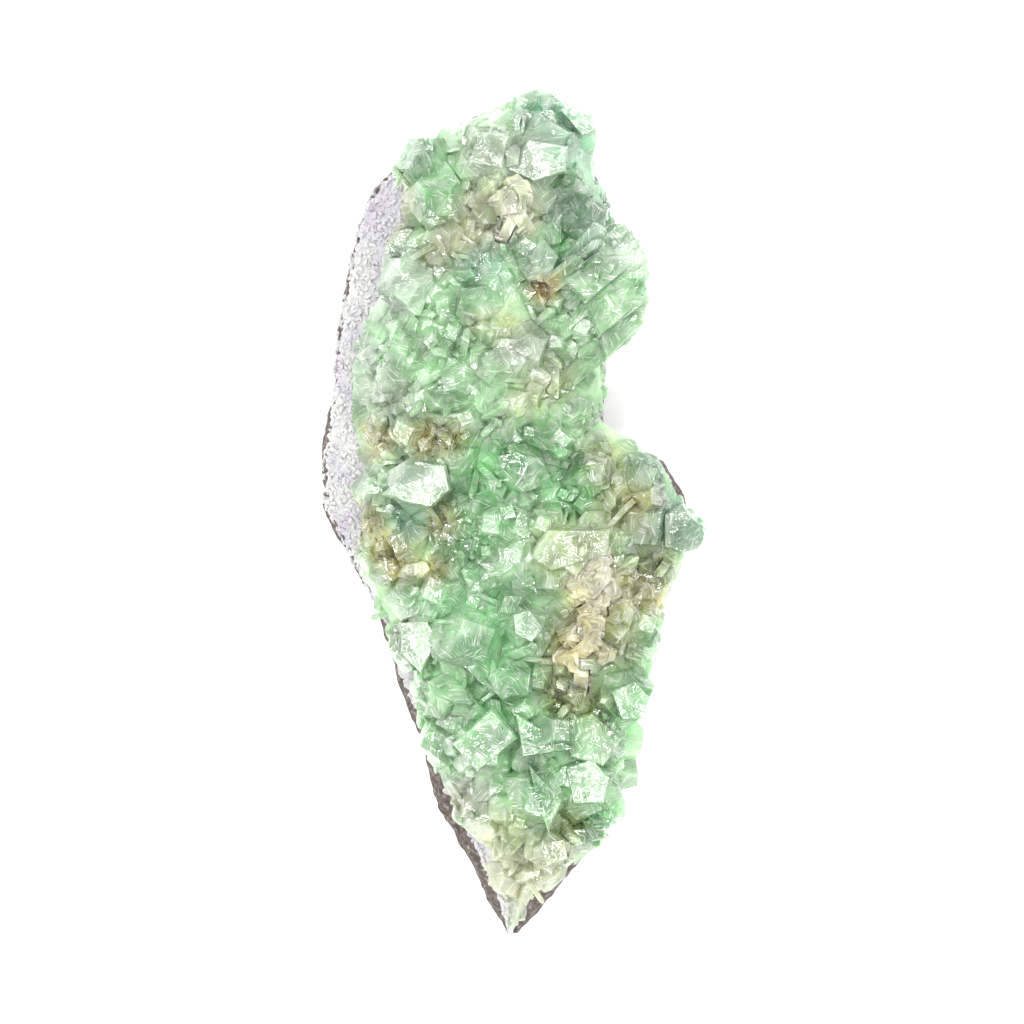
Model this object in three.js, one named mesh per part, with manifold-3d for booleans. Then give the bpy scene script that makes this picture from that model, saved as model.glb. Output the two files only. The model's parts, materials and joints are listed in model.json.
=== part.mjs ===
// Apophyllite on heulandite: a hand-sized plate of dark basalt, lined with a white drusy crust of heulandite
// and overgrown by green apophyllite crystals, with sheaves of cream heulandite standing between them.
// Millimetres, +Z up. The plate lies on its flat broken back, crystals facing up, its long way along Y.
import * as THREE from "three";
import { ConvexGeometry } from "three/addons/geometries/ConvexGeometry.js";
import { mergeVertices } from "three/addons/utils/BufferGeometryUtils.js";
import Module from "manifold-3d";

const wasm = await Module();
wasm.setup();

// Driving dimensions of the plate
const TOP_END = 90;
const BOTTOM_END = -90;
const ROCK_THICKNESS = 13;
const RIND_RISE = 9;
const CRYSTAL_RIDGE = 33;
const CRYSTAL_EDGE = 19;
const JOINT_GAP = 0.4;
const CRYSTAL_RISE = 0.72;
const FILL_STEP = 12.6;
const RIM_STEP = 10.6;

// Left and right edges of the rock in plan, each point [y, x]
const ROCK_LEFT = [
  [90, 4], [85, -4.5], [81, -15], [75, -23.5], [69, -30], [62, -33], [50, -34.5], [45, -37], [24, -38.5],
  [15, -40], [2, -41], [-4, -37.5], [-15, -31.5], [-27, -26], [-34, -25.5], [-40, -22], [-52, -18],
  [-59, -16.8], [-66, -14.3], [-72, -10.3], [-83, -4.8], [-90, -1.2],
];
const ROCK_RIGHT = [
  [90, 9], [85, 13.5], [80, 16.8], [72, 17], [67, 20], [62, 22.5], [56, 23], [50, 21.5], [39, 19.5],
  [28, 19.5], [17.3, 18.8], [14.5, 26], [12, 31.5], [9, 33.5], [2, 37], [-4, 39], [-10, 37], [-17, 33],
  [-27, 30.5], [-40, 28.5], [-46, 26], [-53, 23.2], [-62, 23.2], [-66, 22], [-70, 18.8], [-74, 15.6],
  [-78, 10.6], [-82, 8], [-87, 4.4], [-90, 1],
];
// How much of the dark rock, and then of the white rind, shows along the left side, each [y, width]
const ROCK_SHOWS = [
  [90, 0.5], [50, 0.4], [44, 1.2], [34, 0.7], [-50, 0.5], [-58, 2.2], [-64, 3.8], [-70, 2.8], [-76, 1.8],
  [-83, 1.3], [-90, 0.3],
];
const RIND_SHOWS = [
  [90, 0], [77, 1], [70, 6], [62, 9], [52, 8.5], [43, 5.5], [36, 3], [22, 3], [14, 6], [8, 8.5], [0, 8],
  [-6, 4], [-12, 0.5], [-22, 0.5], [-28, 3], [-34, 3.8], [-41, 1.5], [-52, 0.8], [-62, 3], [-70, 5.5],
  [-78, 4.5], [-84, 3], [-90, 0.2],
];

// How much of the dark rock shows at the right of the lower tip, each [y, width]
const TIP_SHOWS = [[90, 0.4], [-68, 0.4], [-76, 2.2], [-82, 4.6], [-86, 3.6], [-90, 1]];

// A repeatable number from 0 to 1 for each pair of counts.
function chance(i, j = 0) {
  const wave = Math.sin(i * 12.9898 + j * 78.233) * 43758.5453;
  return wave - Math.floor(wave);
}

// The value at y on a line through points [y, value] that run from the top end down.
function along(points, y) {
  let k = 1;
  while (k < points.length - 1 && points[k][0] > y) k += 1;
  const [y0, v0] = points[k - 1];
  const [y1, v1] = points[k];
  const share = THREE.MathUtils.clamp((y - y0) / (y1 - y0), 0, 1);
  return v0 + (v1 - v0) * share;
}

// Slow swells and quick bumps, both about -1 to 1, that shape the beds.
const swell = (x, y) => 0.6 * Math.sin(0.16 * x + 0.09 * y + 1.1) + 0.4 * Math.sin(0.11 * y - 0.21 * x + 2.7);
const bump = (x, y) => 0.6 * Math.sin(0.83 * x + 0.61 * y) + 0.4 * Math.sin(1.07 * y - 0.72 * x + 0.9);

// The plan of each bed: the rock is the widest, the rind inside it, and the crystals leave some rind bare.
const rockEdges = (y) => [along(ROCK_LEFT, y) + 0.8, along(ROCK_RIGHT, y) - 0.9];
const rindEdges = (y) => [
  along(ROCK_LEFT, y) + along(ROCK_SHOWS, y) + 0.6,
  along(ROCK_RIGHT, y) - along(TIP_SHOWS, y) - 1,
];
const crystalEdges = (y) => [
  along(ROCK_LEFT, y) + along(ROCK_SHOWS, y) + along(RIND_SHOWS, y) + 0.8,
  along(ROCK_RIGHT, y) - along(TIP_SHOWS, y) - 0.6,
];

// How far a place lies inside a bed's edges and ends.
function depthInside(edges, x, y) {
  const [left, right] = edges(y);
  return Math.max(0, Math.min(x - left, right - x, TOP_END - y, y - BOTTOM_END));
}

// A shoulder that rises from 0 at a bed's edge to 1 well inside it.
const shoulder = (edges, x, y, width) => 1 - Math.exp(-depthInside(edges, x, y) / width);

const rockTop = (x, y) => ROCK_THICKNESS - 4 * (1 - shoulder(rockEdges, x, y, 2)) + 0.8 * swell(x, y);
const rindTop = (x, y) =>
  ROCK_THICKNESS - 2 + (RIND_RISE + 2) * shoulder(rindEdges, x, y, 4) + 0.9 * bump(x, y) + swell(x, y);
const crystalTop = (x, y) =>
  CRYSTAL_EDGE + (CRYSTAL_RIDGE - CRYSTAL_EDGE) * shoulder(crystalEdges, x, y, 9) + 2.2 * swell(x, y);

// A geometry placed by a matrix, as a solid that joins and cuts.
function solidOf(geometry, matrix = new THREE.Matrix4()) {
  const bare = geometry.clone().applyMatrix4(matrix);
  bare.deleteAttribute("normal");
  bare.deleteAttribute("uv");
  const merged = mergeVertices(bare, 1e-4);
  return new wasm.Manifold(
    new wasm.Mesh({
      numProp: 3,
      vertProperties: new Float32Array(merged.getAttribute("position").array),
      triVerts: new Uint32Array(merged.index.array),
    }),
  );
}

const joined = (solids) => solids.reduce((whole, piece) => whole.add(piece));

// The largest single body of a solid, without the chips that a cut leaves beside it.
const largestBody = (solid) => solid.decompose().reduce((a, b) => (a.volume() > b.volume() ? a : b));

// A named mesh of a finished solid.
function meshOf(solid, name, material) {
  const { vertProperties, triVerts } = largestBody(solid).getMesh();
  const geometry = new THREE.BufferGeometry();
  geometry.setAttribute("position", new THREE.BufferAttribute(new Float32Array(vertProperties), 3));
  geometry.setIndex(new THREE.BufferAttribute(new Uint32Array(triVerts), 1));
  geometry.computeVertexNormals();
  const mesh = new THREE.Mesh(geometry, material);
  mesh.name = name;
  return mesh;
}

// A closed solid through rings that have the same number of corners, capped at both ends.
function loft(rings) {
  const size = rings[0].length;
  const positions = rings.flat(2);
  const faces = [];
  for (let k = 0; k < rings.length - 1; k += 1) {
    for (let i = 0; i < size; i += 1) {
      const here = k * size + i;
      const next = k * size + ((i + 1) % size);
      faces.push(here, next + size, here + size, here, next, next + size);
    }
  }
  for (const [ring, start, way] of [[rings[0], 0, -1], [rings.at(-1), (rings.length - 1) * size, 1]]) {
    const middle = positions.length / 3;
    for (const axis of [0, 1, 2]) positions.push(ring.reduce((sum, p) => sum + p[axis], 0) / size);
    for (let i = 0; i < size; i += 1) {
      const pair = [start + i, start + ((i + 1) % size)];
      faces.push(middle, pair[way > 0 ? 0 : 1], pair[way > 0 ? 1 : 0]);
    }
  }
  const geometry = new THREE.BufferGeometry();
  geometry.setAttribute("position", new THREE.BufferAttribute(new Float32Array(positions), 3));
  geometry.setIndex(faces);
  return geometry;
}

// A bed over its plan, from one end of the plate to the other, between an underside and a top.
// A grown bed is larger all round by the gap that its neighbours keep to it.
function bed({ edges, top, floor, rows, columns, sideSteps = 0, sideRough = 0, grow = 0 }) {
  const rings = [];
  for (let k = 0; k <= rows; k += 1) {
    const y = TOP_END + ((BOTTOM_END - TOP_END) * k) / rows;
    const beyond = k === 0 ? grow : k === rows ? -grow : 0;
    const [left, right] = edges(y);
    const across = (i) => left + ((right - left) * i) / columns;
    const outward = (i) => (i === 0 ? -grow : i === columns ? grow : 0);
    const crown = (i) => {
      const x = across(i);
      const slopeX = (top(x + 0.3, y) - top(x - 0.3, y)) / 0.6;
      const slopeY = (top(x, y + 0.3) - top(x, y - 0.3)) / 0.6;
      const lift = grow / Math.hypot(slopeX, slopeY, 1);
      return [x - slopeX * lift + outward(i), y - slopeY * lift + beyond, top(x, y) + lift];
    };
    const side = (i, step) => {
      const share = (step + 1) / (sideSteps + 1);
      const rough = Math.sign(i - 0.5) * sideRough * (chance(k, step + i) - 0.35);
      const z = floor(across(i), y) + (top(across(i), y) - floor(across(i), y)) * share;
      return [across(i) + rough + outward(i), y + beyond, z];
    };
    const ring = [];
    for (let i = 0; i <= columns; i += 1) {
      ring.push([across(i) + outward(i), y + beyond, floor(across(i), y)]);
    }
    for (let step = 0; step < sideSteps; step += 1) ring.push(side(columns, step));
    for (let i = columns; i >= 0; i -= 1) ring.push(crown(i));
    for (let step = sideSteps - 1; step >= 0; step -= 1) ring.push(side(0, step));
    rings.push(ring);
  }
  return solidOf(loft(rings));
}

// The closed crystal that lies behind all its growth faces, each [nx, ny, nz, distance from the middle].
function crystal(faces) {
  const planes = faces.map(([x, y, z, distance]) => {
    const normal = new THREE.Vector3(x, y, z);
    const length = normal.length();
    return { normal: normal.divideScalar(length), distance };
  });
  const corners = new Map();
  for (const a of planes) {
    for (const b of planes) {
      for (const c of planes) {
        const bc = b.normal.clone().cross(c.normal);
        const volume = a.normal.dot(bc);
        if (volume < 1e-6) continue;
        const corner = bc.multiplyScalar(a.distance)
          .addScaledVector(c.normal.clone().cross(a.normal), b.distance)
          .addScaledVector(a.normal.clone().cross(b.normal), c.distance)
          .divideScalar(volume);
        const key = corner.toArray().map((n) => n.toFixed(3)).join(" ");
        if (planes.every((p) => p.normal.dot(corner) < p.distance + 1e-4)) corners.set(key, corner);
      }
    }
  }
  return new ConvexGeometry([...corners.values()]);
}

// Apophyllite: a square prism whose corners are cut by four steep pyramid faces, with a flat end or a point.
function apophyllite({ width, depth = width, tip, blunt = 0.85, root = width * 0.5 }) {
  const steep = 0.81;
  const rise = tip * CRYSTAL_RISE;
  const reach = rise * 0.5 + 0.12 * width;
  const faces = [
    [1, 0, 0, width / 2], [-1, 0, 0, width / 2], [0, 1, 0, depth / 2], [0, -1, 0, depth / 2],
    [0, 0, 1, rise * blunt], [0, 0, -1, root],
  ];
  for (const x of [-1, 1]) faces.push([x, -1, steep, reach], [x, 1, steep, reach]);
  return crystal(faces);
}

// Heulandite: a flat blade, widest above its middle, with a coffin-shaped head.
function heulandite({ width, depth, tip, root = width, grow = 0 }) {
  const faces = [
    [1, 0, 0, width / 2 + grow], [-1, 0, 0, width / 2 + grow],
    [0, 1, 0, depth / 2 + grow], [0, -1, 0, depth / 2 + grow],
    [1, 0, 1.3, tip * 0.86 + grow], [-1, 0, 0.8, tip * 0.84 + grow],
    [1, 0, -0.35, width * 0.5 + grow], [0, 0, 1, tip + grow], [0, 0, -1, root + grow],
  ];
  return crystal(faces);
}

// A crystal's place: on the crystal bed, leaning by tilt degrees towards an angle in plan, and turned.
function seat({ at: [x, y], lift = 0, tilt = 0, toward = 0, turn = 0 }) {
  const angles = [turn, toward, tilt].map(THREE.MathUtils.degToRad);
  const lean = new THREE.Matrix4().makeRotationAxis(
    new THREE.Vector3(-Math.sin(angles[1]), Math.cos(angles[1]), 0),
    angles[2],
  );
  return new THREE.Matrix4()
    .makeTranslation(x, y, crystalTop(x, y) + lift * CRYSTAL_RISE)
    .multiply(lean)
    .multiply(new THREE.Matrix4().makeRotationZ(angles[0]));
}

// The crystals that stand out in the green crust: at [x, y] in plan, with their sizes and their lean
const LEADING_CRYSTALS = [
  // the upright pair at the top left
  { at: [-18, 73.8], width: 10.5, tip: 11, tilt: 27, toward: 92, turn: 45, blunt: 1, lift: 2 },
  { at: [-15, 66], width: 12.5, tip: 11, tilt: 12, toward: 250, turn: 48, blunt: 0.8, lift: 3 },
  // the broad smooth faces and the bright flat end at the top
  { at: [-4.5, 75.5], width: 15, depth: 15, tip: 7, tilt: 12, toward: 120, turn: 35, blunt: 0.6, lift: 1 },
  { at: [7, 78], width: 14, depth: 12, tip: 8, tilt: 16, toward: 60, turn: 15, blunt: 0.6, lift: 1 },
  { at: [13.2, 82], width: 8, depth: 7, tip: 7, tilt: 14, toward: 40, turn: 32, blunt: 0.8, lift: 3 },
  { at: [6, 72], width: 11, depth: 8, tip: 7, tilt: 22, toward: 300, turn: 8, blunt: 0.6, lift: 1 },
  { at: [15, 62], width: 11, tip: 9, tilt: 34, toward: 20, turn: 20, blunt: 0.8 },
  { at: [6, 52], width: 8, tip: 8, tilt: 25, toward: 300, turn: 40, blunt: 0.9, lift: 1 },
  { at: [-22, 48], width: 11.5, tip: 8, tilt: 16, toward: 220, turn: 10, blunt: 0.7, lift: 2 },
  { at: [-8, 44], width: 9, tip: 7, tilt: 25, toward: 130, turn: 42, blunt: 0.85, lift: 1 },
  { at: [-24, 29], width: 11, depth: 8, tip: 7, tilt: 24, toward: 140, turn: 42, blunt: 0.7, lift: 1 },
  { at: [3, 35], width: 10, tip: 8, tilt: 20, toward: 340, turn: 25, blunt: 0.75, lift: 1 },
  { at: [-22, 17], width: 9.5, tip: 7, tilt: 18, toward: 200, turn: 20, blunt: 0.8, lift: 1 },
  { at: [12.5, 20], width: 9, depth: 7, tip: 9, tilt: 35, toward: 30, turn: 35, blunt: 0.95, lift: 1 },
  { at: [0, 22], width: 10, tip: 8, tilt: 20, toward: 80, turn: 33, blunt: 0.8, lift: 1 },
  // the large flat five-sided face left of the middle
  { at: [-19.5, 6.5], width: 12.5, depth: 10.5, tip: 9, tilt: 7, toward: 230, turn: 33, blunt: 0.6, lift: 3 },
  { at: [2, 9], width: 10, tip: 9, tilt: 14, toward: 120, turn: 20, blunt: 0.85, lift: 2 },
  { at: [16, 8], width: 12, depth: 10, tip: 9, tilt: 22, toward: 60, turn: 28, blunt: 0.85, lift: 1 },
  { at: [-3, -2], width: 10, tip: 9, tilt: 15, toward: 200, turn: 38, blunt: 0.9, lift: 1 },
  // the smooth pale block right of the middle
  { at: [12.5, -7.5], width: 15, depth: 10, tip: 9, tilt: 16, toward: 285, turn: 8, blunt: 0.6, lift: 2 },
  { at: [26.5, 6.5], width: 10, tip: 8, tilt: 25, toward: 40, turn: 20, blunt: 0.85, lift: 1 },
  { at: [27, -3], width: 15, depth: 13, tip: 7, tilt: 18, toward: 330, turn: 40, blunt: 0.6, lift: 1 },
  { at: [36, -4], width: 10, depth: 8, tip: 8, tilt: 40, toward: 355, turn: 20, blunt: 0.9 },
  { at: [-15, -17], width: 10, tip: 8, tilt: 15, toward: 160, turn: 22, blunt: 0.75, lift: 2 },
  { at: [-21, -28], width: 10, depth: 11, tip: 9, tilt: 20, toward: 190, turn: 12, blunt: 0.75, lift: 3 },
  { at: [-8.5, -27], width: 16, tip: 10, tilt: 6, toward: 20, turn: 25, blunt: 0.7, lift: 2 },
  { at: [3.5, -24.5], width: 9, depth: 10, tip: 10, tilt: 15, toward: 40, turn: 32, blunt: 0.8, lift: 3 },
  { at: [0, -35.5], width: 9, tip: 9, tilt: 22, toward: 330, turn: 44, blunt: 0.85, lift: 2 },
  { at: [-14, -40], width: 11, tip: 8, tilt: 26, toward: 215, turn: 30, blunt: 0.85, lift: 1 },
  // the large diamond with stepped sides, and the rounded block left of it
  { at: [-6, -49], width: 15, tip: 10.5, tilt: 10, toward: 260, turn: 47, blunt: 0.8, lift: 3 },
  { at: [-14.6, -48], width: 11, tip: 8, tilt: 28, toward: 195, turn: 15, blunt: 0.7, lift: 2 },
  // the sharp triangle and the thin upright plate beside it
  { at: [6.5, -46.5], width: 13, depth: 9, tip: 10, tilt: 34, toward: 12, turn: 42, blunt: 0.95, lift: 1 },
  { at: [10, -43], width: 1.6, depth: 12, tip: 8, tilt: 20, toward: 60, turn: -38, blunt: 0.7, lift: 2 },
  { at: [18, -48], width: 14, depth: 12, tip: 8, tilt: 15, toward: 60, turn: 42, blunt: 0.7, lift: 2 },
  // the clear point near the lower end, with the glittering block right of it
  { at: [5, -59.5], width: 11, depth: 10.5, tip: 10, tilt: 16, toward: 280, turn: 20, blunt: 0.85, lift: 3 },
  { at: [15.5, -57], width: 13, tip: 10, tilt: 12, toward: 130, turn: 16, blunt: 0.75, lift: 2 },
  { at: [19, -62], width: 11, depth: 9, tip: 7, tilt: 28, toward: 345, turn: 38, blunt: 0.8, lift: 1 },
  { at: [25, -38], width: 10, tip: 8, tilt: 30, toward: 345, turn: 18, blunt: 0.8, lift: 2 },
  { at: [26.5, -24], width: 9, tip: 7, tilt: 30, toward: 10, turn: 25, blunt: 0.85, lift: 1 },
  { at: [24, -48.5], width: 9, tip: 7, tilt: 34, toward: 330, turn: 40, blunt: 0.75, lift: 1 },
  { at: [-6, -62], width: 13, depth: 15, tip: 8, tilt: 14, toward: 190, turn: 28, blunt: 0.6, lift: 1 },
  { at: [1, -70], width: 11, tip: 7, tilt: 18, toward: 230, turn: 35, blunt: 0.7, lift: 1 },
  { at: [8, -70.5], width: 8, tip: 8, tilt: 12, toward: 60, turn: 10, blunt: 0.75, lift: 2 },
  { at: [-0.5, -78], width: 7.5, depth: 9, tip: 6, tilt: 16, toward: 250, turn: 25, blunt: 0.8, lift: 1 },
];

// The sheaf of long parallel crystals that reaches over the right edge: its first and last root and tip
const SHEAF = {
  roots: [[15.5, 31.5], [11.5, 50.5]],
  tips: [[26.6, 40.6], [26.2, 59.8]],
  bulge: 3,
  count: 8,
  width: 5.2,
  tilt: 66,
};

// Cream heulandite sheaves standing in gaps of the green crust: the middle of each, its spread and its blades
const CREAM_SHEAVES = [
  { name: "heulandite_sheaf_right", at: [18, -14.5], spread: 6, blades: 6, toward: 60, width: 8 },
  { name: "heulandite_sheaf_lower_right", at: [15.5, -28], spread: 6.5, blades: 6, toward: 300, width: 8 },
  { name: "heulandite_sheaf_top", at: [0.5, 64.5], spread: 5, blades: 5, toward: 30, width: 8 },
];

// How far a place in plan is from the nearest leading crystal.
const fromLeading = (x, y) => Math.min(...LEADING_CRYSTALS.map(({ at }) => Math.hypot(at[0] - x, at[1] - y)));

// Smaller crystals that fill the crust between the leading ones, leaning outwards as the bed slopes.
function fillingCrystals() {
  const found = [];
  for (let row = 0; row * FILL_STEP < TOP_END - BOTTOM_END - 6; row += 1) {
    for (let column = 0; column < 8; column += 1) {
      const y = TOP_END - 3 - (row + 0.8 * chance(row, column)) * FILL_STEP;
      const x = -42 + (column + 0.5 * (row % 2) + 0.7 * chance(column, row)) * FILL_STEP;
      if (depthInside(crystalEdges, x, y) < 6 || fromLeading(x, y) < 5) continue;
      const width = 6.2 + 3.8 * chance(row * 3, column * 5);
      found.push({
        at: [x, y],
        width,
        depth: width * (0.75 + 0.4 * chance(column * 7, row)),
        tip: width * (0.5 + 0.35 * chance(row, column * 2)),
        tilt: 8 + 26 * chance(row * 2, column),
        toward: 360 * chance(column, row * 4),
        turn: 90 * chance(column * 3, row * 2),
        blunt: 0.8 + 0.2 * chance(row * 5, column),
        lift: 0.6,
      });
    }
  }
  return found;
}

// The crystals along both edges of the crust, pointing outwards over its rim.
function rimCrystals() {
  const found = [];
  for (let row = 0; row * RIM_STEP < TOP_END - BOTTOM_END - 14; row += 1) {
    for (const side of [0, 1]) {
      const y = TOP_END - 4 - (row + 0.5 * chance(row, side)) * RIM_STEP;
      const x = crystalEdges(y)[side] + (side ? -3.4 : 3.8);
      if (fromLeading(x, y) < 4 || (!side && along(RIND_SHOWS, y) > 2.4)) continue;
      const width = 6 + 2.6 * chance(row * 3, side);
      found.push({
        at: [x, y],
        width,
        depth: width * (0.8 + 0.4 * chance(side, row * 7)),
        tip: 3.2 + 1.6 * chance(row, side * 2 + 5),
        tilt: (side ? 40 : 22) + 18 * chance(row * 2, side),
        toward: (side ? 0 : 180) + 50 * (chance(row, side + 9) - 0.5),
        turn: 90 * chance(row, side + 4),
        blunt: 0.9,
        lift: -1.5,
      });
    }
  }
  return found;
}

// The long crystals of the overhanging sheaf, side by side from its first root to its last.
function sheafCrystals() {
  const { roots, tips, bulge, count, width, tilt } = SHEAF;
  return Array.from({ length: count }, (_, i) => {
    const share = i / (count - 1);
    const [rootX, rootY] = [0, 1].map((axis) => THREE.MathUtils.lerp(roots[0][axis], roots[1][axis], share));
    const [tipX, tipY] = [0, 1].map((axis) => THREE.MathUtils.lerp(tips[0][axis], tips[1][axis], share));
    const runX = tipX - rootX + bulge * Math.sin(Math.PI * share) - 1.5 * chance(i, 5);
    const runY = tipY - rootY;
    const long = Math.hypot(runX, runY) / Math.sin(THREE.MathUtils.degToRad(tilt));
    const place = {
      at: [rootX, rootY],
      lift: 1.2 + 1.8 * chance(i, 3),
      tilt: tilt + 6 * (chance(i, 1) - 0.5),
      toward: THREE.MathUtils.radToDeg(Math.atan2(runY, runX)),
      turn: 45 + 16 * chance(i, 2),
    };
    return solidOf(longPrism({ width, depth: width * 0.8, tip: long - 1, root: 5 }), seat(place));
  });
}

// A long prism with a square section and a blunt pyramid end.
function longPrism({ width, depth, tip, root }) {
  const faces = [
    [1, 0, 0, width / 2], [-1, 0, 0, width / 2], [0, 1, 0, depth / 2], [0, -1, 0, depth / 2],
    [0, 0, 1, tip], [0, 0, -1, root],
  ];
  const reach = tip * 0.497 + width * 0.2;
  for (const x of [-1, 1]) faces.push([x, -1, 0.81, reach], [x, 1, 0.81, reach]);
  return crystal(faces);
}

// The blades of one cream sheaf, spreading from its middle.
function creamBlades({ at: [x, y], spread, blades, toward, width }, grow) {
  return Array.from({ length: blades }, (_, i) => {
    const turnRound = (360 * i) / blades + 40 * chance(i, spread);
    const out = THREE.MathUtils.degToRad(turnRound);
    const distance = i === 0 ? 0 : spread * (0.45 + 0.5 * chance(i, blades));
    const place = {
      at: [x + distance * Math.cos(out), y + distance * Math.sin(out)],
      lift: 1.2 + 1.6 * chance(i, width),
      tilt: 12 + 26 * chance(i, 9),
      toward: i % 2 ? toward : turnRound,
      turn: turnRound + 50 * chance(i, 4),
    };
    const blade = { width: width * (0.8 + 0.4 * chance(i, 7)), depth: 2.2 + chance(i, 6), root: 4.5, grow };
    return solidOf(heulandite({ ...blade, tip: 2.6 + 1.6 * chance(i, 8) }), seat(place));
  });
}

const ROCK = { edges: rockEdges, top: rockTop, rows: 25, columns: 4, sideSteps: 2, sideRough: 2.4 };
const rockFloor = (x, y) => -1.5 + 3.2 * (1 - shoulder(rockEdges, x, y, 2)) + 0.9 * bump(x * 0.6, y * 0.4);
const RIND = { edges: rindEdges, top: rindTop, floor: () => 4, rows: 22, columns: 4 };
const CRUST = { edges: crystalEdges, top: crystalTop, floor: () => 8, rows: 18, columns: 4, sideSteps: 1 };

const UP = [0, 0, 1];
const rock = bed({ ...ROCK, floor: rockFloor }).trimByPlane(UP, 0);
const grownRock = bed({ ...ROCK, floor: rockFloor, grow: JOINT_GAP });
const rind = bed(RIND).subtract(grownRock);
const grownRind = bed({ ...RIND, grow: JOINT_GAP });

const sheaves = [];
for (const sheaf of CREAM_SHEAVES) {
  const neighbours = joined([grownRock, grownRind, ...sheaves.map((before) => before.grown)]);
  sheaves.push({
    name: sheaf.name,
    solid: joined(creamBlades(sheaf, 0)).subtract(neighbours),
    grown: joined(creamBlades(sheaf, JOINT_GAP)),
  });
}

const standing = [...fillingCrystals(), ...rimCrystals(), ...LEADING_CRYSTALS];
const crust = joined([
  bed({ ...CRUST, sideRough: 2.6 }),
  ...standing.map((one) => solidOf(apophyllite(one), seat(one))),
  ...sheafCrystals(),
]);
const fittedCrust = joined([grownRock, grownRind, ...sheaves.map((sheaf) => sheaf.grown)]);

const basaltFinish = new THREE.MeshStandardMaterial({ color: "#3f3935", roughness: 0.92, metalness: 0 });
const rindFinish = new THREE.MeshStandardMaterial({ color: "#e9e6e6", roughness: 0.7, metalness: 0 });
const apophylliteFinish = new THREE.MeshStandardMaterial({ color: "#a5cfa9", roughness: 0.15, metalness: 0 });
const creamFinish = new THREE.MeshStandardMaterial({ color: "#cdc5a0", roughness: 0.35, metalness: 0 });

const plate = new THREE.Group();
plate.add(meshOf(rock, "basalt_matrix", basaltFinish));
plate.add(meshOf(rind, "heulandite_rind", rindFinish));
plate.add(meshOf(crust.subtract(fittedCrust), "apophyllite_crust", apophylliteFinish));
for (const { name, solid } of sheaves) plate.add(meshOf(solid, name, creamFinish));

// The frame's origin is under the middle of the whole plate, on the surface that it rests on.
const box = new THREE.Box3().setFromObject(plate);
const middle = box.getCenter(new THREE.Vector3());
plate.position.set(-middle.x, -middle.y, -box.min.z);

export default plate;
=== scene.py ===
import json
import math
import random

import bpy
import numpy as np
from mathutils import Matrix, Vector
from mathutils.bvhtree import BVHTree

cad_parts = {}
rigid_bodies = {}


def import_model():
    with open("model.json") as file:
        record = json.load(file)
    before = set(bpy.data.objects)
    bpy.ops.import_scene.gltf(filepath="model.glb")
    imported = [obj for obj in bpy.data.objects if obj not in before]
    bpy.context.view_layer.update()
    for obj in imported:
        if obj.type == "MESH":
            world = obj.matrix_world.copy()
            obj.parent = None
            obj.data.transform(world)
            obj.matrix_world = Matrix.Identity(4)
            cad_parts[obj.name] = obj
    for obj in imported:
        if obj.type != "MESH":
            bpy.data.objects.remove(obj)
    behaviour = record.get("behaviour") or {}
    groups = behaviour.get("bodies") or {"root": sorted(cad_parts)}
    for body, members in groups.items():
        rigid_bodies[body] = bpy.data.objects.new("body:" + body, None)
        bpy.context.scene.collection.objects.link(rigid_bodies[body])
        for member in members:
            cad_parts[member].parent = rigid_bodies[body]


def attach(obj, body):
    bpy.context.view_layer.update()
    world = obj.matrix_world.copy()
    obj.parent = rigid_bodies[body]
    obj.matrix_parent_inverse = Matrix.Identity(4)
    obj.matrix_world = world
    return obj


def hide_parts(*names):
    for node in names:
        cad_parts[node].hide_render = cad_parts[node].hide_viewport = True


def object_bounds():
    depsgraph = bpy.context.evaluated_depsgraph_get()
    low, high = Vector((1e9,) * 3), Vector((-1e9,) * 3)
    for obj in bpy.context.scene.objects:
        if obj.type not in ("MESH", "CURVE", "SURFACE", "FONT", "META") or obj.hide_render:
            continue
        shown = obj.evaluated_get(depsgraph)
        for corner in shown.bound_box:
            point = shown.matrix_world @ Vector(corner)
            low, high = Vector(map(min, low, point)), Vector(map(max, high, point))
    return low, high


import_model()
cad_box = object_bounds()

# The basalt plate
# Dark vesicular basalt, broken out of the wall of a gas cavity. Its back is a flat break and its sides are
# rough. The minerals that lined the cavity left its left side, its lower tip and slivers along the edges bare.


def copy_of(node, name):
    """A mesh of its own, in place of a node of the frame."""
    source = bpy.data.objects[node]
    mesh = source.data.copy()
    mesh.transform(source.matrix_world)
    piece = bpy.data.objects.new(name, mesh)
    bpy.context.scene.collection.objects.link(piece)
    select(piece)
    bpy.ops.object.mode_set(mode="EDIT")
    bpy.ops.mesh.select_all(action="SELECT")
    bpy.ops.mesh.remove_doubles(threshold=0.000001)
    bpy.ops.object.mode_set(mode="OBJECT")
    return piece


def select(piece):
    bpy.ops.object.select_all(action="DESELECT")
    bpy.context.view_layer.objects.active = piece
    piece.select_set(True)


def apply_modifier(piece, kind, **settings):
    modifier = piece.modifiers.new(kind.lower(), kind)
    for key, value in settings.items():
        setattr(modifier, key, value)
    select(piece)
    bpy.ops.object.modifier_apply(modifier=modifier.name)


def new_material(name):
    material = bpy.data.materials.new(name)
    material.use_nodes = True
    tree = material.node_tree
    return material, tree, tree.nodes["Principled BSDF"]


def object_noise(tree, scale, detail=4.0, roughness=0.55, stretch=(1, 1, 1)):
    """Noise over the object's own coordinates, its scale in features a metre."""
    coordinates = tree.nodes.new("ShaderNodeTexCoord")
    mapping = tree.nodes.new("ShaderNodeMapping")
    mapping.inputs["Scale"].default_value = stretch
    noise = tree.nodes.new("ShaderNodeTexNoise")
    noise.inputs["Scale"].default_value = scale
    noise.inputs["Detail"].default_value = detail
    noise.inputs["Roughness"].default_value = roughness
    tree.links.new(coordinates.outputs["Object"], mapping.inputs["Vector"])
    tree.links.new(mapping.outputs["Vector"], noise.inputs["Vector"])
    return noise.outputs["Fac"]


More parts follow.
